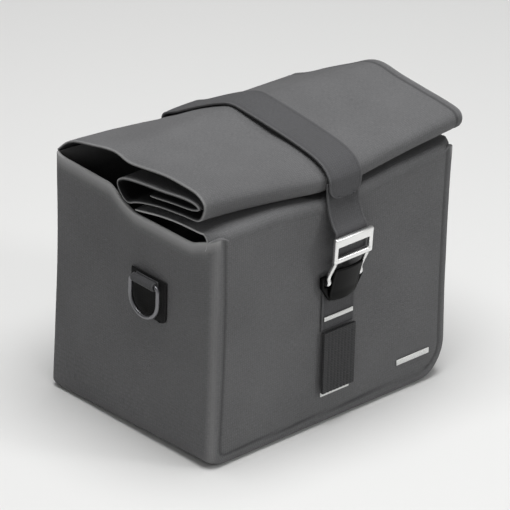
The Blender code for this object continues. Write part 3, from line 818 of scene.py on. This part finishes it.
hook_half = hook_width / 2
hook_corner = (hook_half, hook_plate / 2, 0)
hook = add_block("hook_casting", (-hook_half, -hook_plate / 2, -hook_height), hook_corner)
slot_half = hook_half - hook_cheek
slot_corner = (slot_half, hook_plate, -top_bar)
slot = add_block("slot", (-slot_half, -hook_plate, -top_bar - slot_height), slot_corner)
cut_or_join(hook, slot, "DIFFERENCE")
finish_with(hook, "BEVEL", width=0.0011, segments=4, limit_method="ANGLE", angle_limit=math.radians(50))
lean = Matrix.Translation(hook_place(0, 0, 0)) @ Matrix.Rotation(hook_lean, 4, "X")
hook.data.transform(lean)
leg_y = loop_low.y - 0.0003 - leg_radius
slot_z = loop_high.z - loop_bar - loop_slot / 2
for side in (-1, 1):
    x = strap_middle + side * leg_spread
    leg_places = [
        hook_place(side * leg_spread, hook_height - 0.0035, 0.0001),
        hook_place(side * leg_spread, hook_height - leg_radius, 0),
        Vector((x, leg_y, loop_high.z + leg_radius)),
        Vector((x, leg_y, slot_z + 1.5 * leg_radius)),
        Vector((x, leg_y + 0.6 * leg_radius, slot_z + 0.3 * leg_radius)),
        Vector((x, leg_y + 1.6 * leg_radius, slot_z)),
        Vector((x, loop_low.y + 0.0021, slot_z)),
    ]
    leg = round_bar("leg", smooth_route(leg_places, 4), leg_radius)
    cut_or_join(hook, leg, "UNION")
clean_up(hook)
bpy.ops.object.shade_smooth_by_angle(angle=math.radians(40))


def metal_finish(name, colour, roughness, scratches):
    """Bare metal: a bright, slightly spread highlight, broken up by fine rubbed scratches.

    The real scratches are finer than 0.1 mm and are drawn about 1 mm wide to show.
    """
    made, tree, shader = new_material(name)
    place = add_node(tree, "ShaderNodeTexCoord", {}).outputs["Object"]
    drawn = add_node(tree, "ShaderNodeMapping", {"Scale": (90, 900, 900)}, {"Vector": place})
    settings = {"Scale": 1.0, "Detail": 3.0}
    links = {"Vector": drawn.outputs["Vector"]}
    rubbed = add_node(tree, "ShaderNodeTexNoise", settings, links).outputs["Fac"]
    spread = {"From Min": 0.3, "From Max": 0.7, "To Min": roughness, "To Max": roughness + 0.12}
    rough = add_node(tree, "ShaderNodeMapRange", spread, {"Value": rubbed})
    tree.links.new(rough.outputs["Result"], shader.inputs["Roughness"])
    relief = {"Strength": scratches, "Distance": 0.00005}
    bump = add_node(tree, "ShaderNodeBump", relief, {"Height": rubbed})
    tree.links.new(bump.outputs["Normal"], shader.inputs["Normal"])
    shader.inputs["Base Color"].default_value = linear(colour)
    shader.inputs["Metallic"].default_value = 1.0
    return made


# Polished cast aluminium: nearly white, the brightest thing on the bag.
hook_metal = metal_finish("polished_cast_aluminium", "#f2f2f1", 0.26, 0.2)
place_piece(hook, hook_metal, "bag", "hook")

# Loop: a tapered plate of moulded black nylon with a slot for the hook's legs, fixed on the grey tab. A
# thin finger tab stands out from its lower part between the legs, up to the hook, and takes a soft
# highlight.
loop_half = (loop_high.x - loop_low.x) / 2
loop_base_half = 0.0098
loop_middle = (loop_low.x + loop_high.x) / 2
loop_shoulder = loop_high.z - loop_bar - loop_slot
bpy.ops.object.select_all(action="DESELECT")
bpy.ops.mesh.primitive_circle_add(vertices=6, radius=loop_half, fill_type="NGON")
loop_plate = bpy.context.object
loop_plate.name = "moulded_loop"
loop_corners = (
    (loop_base_half, loop_low.z),
    (loop_half, loop_shoulder),
    (loop_half, loop_high.z),
    (-loop_half, loop_high.z),
    (-loop_half, loop_shoulder),
    (-loop_base_half, loop_low.z),
)
for vertex, (x, z) in zip(loop_plate.data.vertices, loop_corners):
    vertex.co = (loop_middle + x, loop_high.y, z)
finish_with(loop_plate, "SOLIDIFY", thickness=loop_high.y - loop_low.y, offset=1)
clean_up(loop_plate)
loop_cut = add_block(
    "slot",
    (loop_middle - 0.0140, loop_low.y - 0.002, loop_shoulder),
    (loop_middle + 0.0140, loop_high.y + 0.002, loop_high.z - loop_bar),
)
cut_or_join(loop_plate, loop_cut, "DIFFERENCE")
finish_with(
    loop_plate, "BEVEL", width=0.0007, segments=4, limit_method="ANGLE", angle_limit=math.radians(50)
)
bpy.ops.object.shade_smooth_by_angle(angle=math.radians(40))
finger_route = [
    Vector((loop_middle, -half_depth - out, z))
    for out, z in ((0.0088, 0.1062), (0.0072, 0.1005), (0.0055, 0.0940), (0.0042, 0.0885), (0.0036, 0.0838))
]
finger_tab = band(
    "finger_tab", smooth_route(finger_route, 4), 0.0215, 0.0018, corner=0.0045, crown=0.0012, wear=0.0
)
only(loop_plate)
finger_tab.select_set(True)
bpy.ops.object.join()
# Moulded nylon: deep black with a low gloss and a faint grain, so that a soft light runs down its curve.
black_nylon, nylon_tree, nylon_shader = new_material("moulded_black_nylon")
nylon_place = add_node(nylon_tree, "ShaderNodeTexCoord", {}).outputs["Object"]
nylon_settings = {"Scale": 900.0, "Detail": 2.0}
nylon_grain = add_node(nylon_tree, "ShaderNodeTexNoise", nylon_settings, {"Vector": nylon_place})
nylon_relief = {"Strength": 0.08, "Distance": 0.0001}
nylon_bump = add_node(nylon_tree, "ShaderNodeBump", nylon_relief, {"Height": nylon_grain.outputs["Fac"]})
nylon_tree.links.new(nylon_bump.outputs["Normal"], nylon_shader.inputs["Normal"])
nylon_shader.inputs["Base Color"].default_value = linear("#060606")
nylon_shader.inputs["Roughness"].default_value = 0.3
nylon_shader.inputs["Specular IOR Level"].default_value = 0.08
place_piece(loop_plate, black_nylon, "bag", "hook_loop")

# Front strip: a grey tab that carries the loop, a dark ribbed webbing below it, and pale reflective film in
# two stripes and one small plain bar. All lie flat on the front panel.
tab_low, tab_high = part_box("front_tab")


def flat_route(low, high, standoff):
    """Places up the front strip between two heights, at a depth in front of the panel."""
    count = max(4, int((high - low) / 0.003))
    return [Vector((strap_middle, standoff, low + (high - low) * i / count)) for i in range(count + 1)]


tab_route = flat_route(tab_low.z, tab_high.z, (tab_low.y + tab_high.y) / 2)[::-1]
tab = band("loop_tab", tab_route, tab_high.x - tab_low.x, tab_high.y - tab_low.y)
place_piece(tab, strap_cloth, "bag", "front_tab")

web_low, web_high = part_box("front_webbing")
rib_pitch = 0.0026


def ribbed_band(name, route, width, thickness, across=Vector((1, 0, 0))):
    """Woven webbing with raised ribs along it and a narrow flat selvedge at each side."""
    count = int(width / (rib_pitch / 8))
    rows = []
    for i, place in enumerate(route):
        ahead = route[min(i + 1, len(route) - 1)] - route[max(i - 1, 0)]
        normal = ahead.cross(across).normalized()
        row = []
        for step in range(count + 1):
            side = (step / count - 0.5) * width
            inside = smooth((width / 2 - abs(side) - 0.0012) / 0.001)
            rib = 0.00022 * (math.cos(2 * math.pi * side / rib_pitch) - 1) * inside
            row.append(place + across * side + normal * rib)
        rows.append(row)
    piece = lay_grid(name, rows)
    finish_with(piece, "SOLIDIFY", thickness=thickness, offset=-1, use_even_offset=True)
    edge_angle = math.radians(60)
    finish_with(piece, "BEVEL", width=0.0003, segments=2, limit_method="ANGLE", angle_limit=edge_angle)
    clean_up(piece)
    bpy.ops.object.shade_smooth_by_angle(angle=math.radians(50))
    return piece


def webbing_finish(name, dark, light):
    """Woven nylon webbing: twisted yarns cross it in short steps and give it a dark, fine ribbed look.

    The real steps of 0.5 mm are drawn 1.1 mm apart to show.
    """
    made, tree, shader = new_material(name)
    cloth = add_node(tree, "ShaderNodeUVMap", {"uv_map": "cloth"}).outputs["UV"]
    settings = {"bands_direction": "Y", "Scale": 0.314 / 0.0011, "Distortion": 2.0, "Detail Scale": 1.5}
    steps = add_node(tree, "ShaderNodeTexWave", settings, {"Vector": cloth}).outputs["Fac"]
    settings = {"Scale": 700.0, "Detail": 2.0}
    yarn = add_node(tree, "ShaderNodeTexNoise", settings, {"Vector": cloth}).outputs["Fac"]
    both = add_node(tree, "ShaderNodeMath", {"operation": "MULTIPLY"}, {0: steps, 1: yarn}).outputs[0]
    greys = add_node(tree, "ShaderNodeMix", {"data_type": "RGBA"}, {"Factor": both})
    greys.inputs[6].default_value = linear(dark)
    greys.inputs[7].default_value = linear(light)
    tree.links.new(greys.outputs[2], shader.inputs["Base Color"])
    bump = add_node(tree, "ShaderNodeBump", {"Strength": 0.5, "Distance": 0.0002}, {"Height": both})
    tree.links.new(bump.outputs["Normal"], shader.inputs["Normal"])
    shader.inputs["Roughness"].default_value = 0.7
    shader.inputs["Specular IOR Level"].default_value = 0.2
    return made


webbing_cloth = webbing_finish("woven_nylon_webbing", "#333334", "#565657")
web_route = flat_route(web_low.z, web_high.z, web_low.y)[::-1]
strip = ribbed_band("ribbed_strip", web_route, web_high.x - web_low.x, web_high.y - web_low.y)
place_piece(strip, webbing_cloth, "bag", "front_webbing")

# Reflective film of glass beads: pale and slightly grainy, the lightest thing beside the hook. The real
# beads are 0.05 mm wide and are drawn 0.7 mm wide to show.
pale_film, film_tree, film_shader = new_material("glass_bead_reflective_film")
film_place = add_node(film_tree, "ShaderNodeTexCoord", {}).outputs["Object"]
film_links = {"Vector": film_place}
beads = add_node(film_tree, "ShaderNodeTexVoronoi", {"Scale": 1400.0}, film_links).outputs["Distance"]
film_greys = add_node(film_tree, "ShaderNodeMix", {"data_type": "RGBA"}, {"Factor": beads})
film_greys.inputs[6].default_value = linear("#f4f4f2")
film_greys.inputs[7].default_value = linear("#d4d4d2")
film_tree.links.new(film_greys.outputs[2], film_shader.inputs["Base Color"])
film_shader.inputs["Roughness"].default_value = 0.35
for node in ("stripe_upper", "stripe_lower", "pale_bar"):
    low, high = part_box(node)
    stripe = add_block(node + "_film", low, high)
    finish_with(stripe, "BEVEL", width=0.00025, segments=3, limit_method="ANGLE")
    bpy.ops.object.shade_smooth_by_angle(angle=math.radians(40))
    place_piece(stripe, pale_film, "bag", node)

# D-rings: bent steel wire, satin finished, each in a grey webbing loop sewn on a black patch. The ring
# turns on its straight bar. The hidden right side has the same set.
ring_wire = 0.0013
ring_corner = 0.003
ring_width = 0.026
ring_height = 0.025
# Satin steel wire: mid grey with a broad, soft highlight.
ring_steel = metal_finish("satin_steel_wire", "#808083", 0.34, 0.3)
# Black coated patch: the same weave under a thicker coating, an almost even black.
black_cloth = cloth_finish("black_coated_patch", "#101010", "#1c1c1c", "#242424")


def ring_route(axis):
    """The ring's centre line, hung from its axis."""
    half = ring_width / 2 - ring_wire
    drop = ring_height - 2 * ring_wire
    route = []
    for turn in range(0, 91, 15):
        angle = math.radians(turn)
        route.append((half - ring_corner * (1 - math.sin(angle)), -ring_corner * (1 - math.cos(angle))))
    for turn in range(0, 181, 6):
        angle = math.radians(turn)
        route.append((half * math.cos(angle), half - drop - half * math.sin(angle)))
    for turn in range(90, -1, -15):
        angle = math.radians(turn)
        route.append((-half + ring_corner * (1 - math.sin(angle)), -ring_corner * (1 - math.cos(angle))))
    return [axis + Vector((0, y, z)) for y, z in route]


for side, word in ((-1, "left"), (1, "right")):
    ring_low, ring_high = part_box("d_ring_" + word)
    axis = Vector(
        ((ring_low.x + ring_high.x) / 2, (ring_low.y + ring_high.y) / 2, ring_high.z - ring_wire)
    )
    ring = round_bar("wire_ring_" + word, ring_route(axis), ring_wire, closed=True, sides=5)
    bpy.ops.object.shade_smooth()
    place_piece(ring, ring_steel, "ring_" + word, "d_ring_" + word)
    patch_low, patch_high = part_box("ring_patch_" + word)
    patch_route = []
    for i in range(10):
        z = patch_high.z - (patch_high.z - patch_low.z + 0.003) * i / 9
        patch_route.append(Vector((side * (side_wall_x(z) + 0.0009), axis.y, z)))
    patch = band(
        "side_patch_" + word,
        patch_route,
        patch_high.y - patch_low.y,
        0.0012,
        across=Vector((0, -side, 0)),
        corner=0.004,
    )
    place_piece(patch, black_cloth, "bag", "ring_patch_" + word)
    loop_radius = ring_wire + 0.0003 + 0.0006
    inwards = Vector((-side, 0, 0))
    loop_route = [axis + inwards * loop_radius + Vector((0, 0, 0.0028))]
    for turn in range(0, 286, 15):
        angle = math.radians(turn)
        loop_route.append(
            axis + inwards * loop_radius * math.cos(angle) - Vector((0, 0, loop_radius * math.sin(angle)))
        )
    webbing_loop = band("ring_webbing_" + word, loop_route, 0.0185, 0.0012, across=Vector((0, side, 0)))
    place_piece(webbing_loop, strap_cloth, "bag", "ring_loop_" + word)

# Back loops: plain dark webbing on the hidden back panel, each flat at its two sewn ends and standing off
# between them for a handlebar strap.
for side, word in ((-1, "left"), (1, "right")):
    low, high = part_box("back_loop_" + word)
    middle = (low.x + high.x) / 2
    half = (high.x - low.x) / 2
    inner = half - 0.007
    stops = (-half, -inner, -inner + 0.006, inner - 0.006, inner, half)
    far = high.y
    near = low.y + 0.0016
    outs = (near, near, far, far, near, near)
    places = [Vector((middle + x, y, (low.z + high.z) / 2)) for x, y in zip(stops, outs)]
    loop_route = [
        first.lerp(second, step / 4) for first, second in zip(places, places[1:]) for step in range(4)
    ]
    loop_route.append(places[-1])
    for _ in range(2):
        inner_places = [
            (a + 2 * b + c) / 4 for a, b, c in zip(loop_route, loop_route[1:], loop_route[2:])
        ]
        loop_route = [loop_route[0], *inner_places, loop_route[-1]]
    back_loop = ribbed_band(
        "back_webbing_" + word, loop_route, high.z - low.z, 0.0016, across=Vector((0, 0, -1))
    )
    place_piece(back_loop, webbing_cloth, "bag", "back_loop_" + word)
